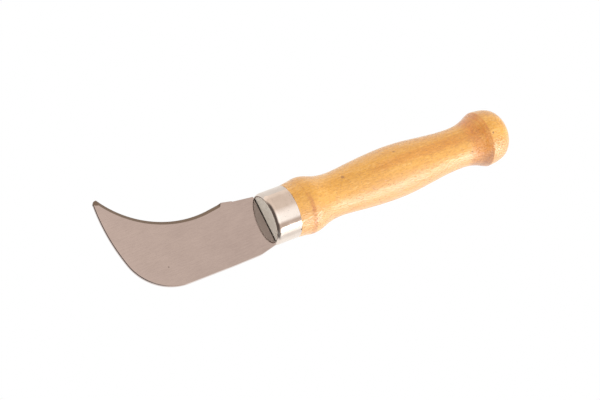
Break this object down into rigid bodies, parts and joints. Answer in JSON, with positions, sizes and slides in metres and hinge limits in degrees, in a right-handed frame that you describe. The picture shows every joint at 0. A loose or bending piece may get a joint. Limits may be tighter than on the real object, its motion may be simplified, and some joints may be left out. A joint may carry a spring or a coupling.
{
  "type": "head knife",
  "caption": "Leatherworking head knife with a hooked steel blade, a nickel-plated ferrule and a turned hardwood handle.",
  "frame": {"origin": "under the middle of the bounding box, on the level of the lowest point of the handle", "axes": "+X along the handle axis from the blade's tip towards the pommel, +Y across the blade from the straight side towards the hooked tip, +Z out of the blade face that carries the bevel of the concave edge"},
  "size_m": [0.203, 0.0504, 0.027],
  "materials": {
    "blade_steel": "finely ground and polished, soft mirror",
    "ferrule_nickel": "bright nickel plating",
    "disc_metal": "satin",
    "handle_wood": "clear gloss lacquer",
    "cured_adhesive": "cured resin"
  },
  "bodies": {
    "root": {"blade": "blade_steel", "ferrule": "ferrule_nickel", "ferrule_disc": "disc_metal", "handle": "handle_wood", "tang_adhesive": "cured_adhesive"}
  },
  "joints": []
}
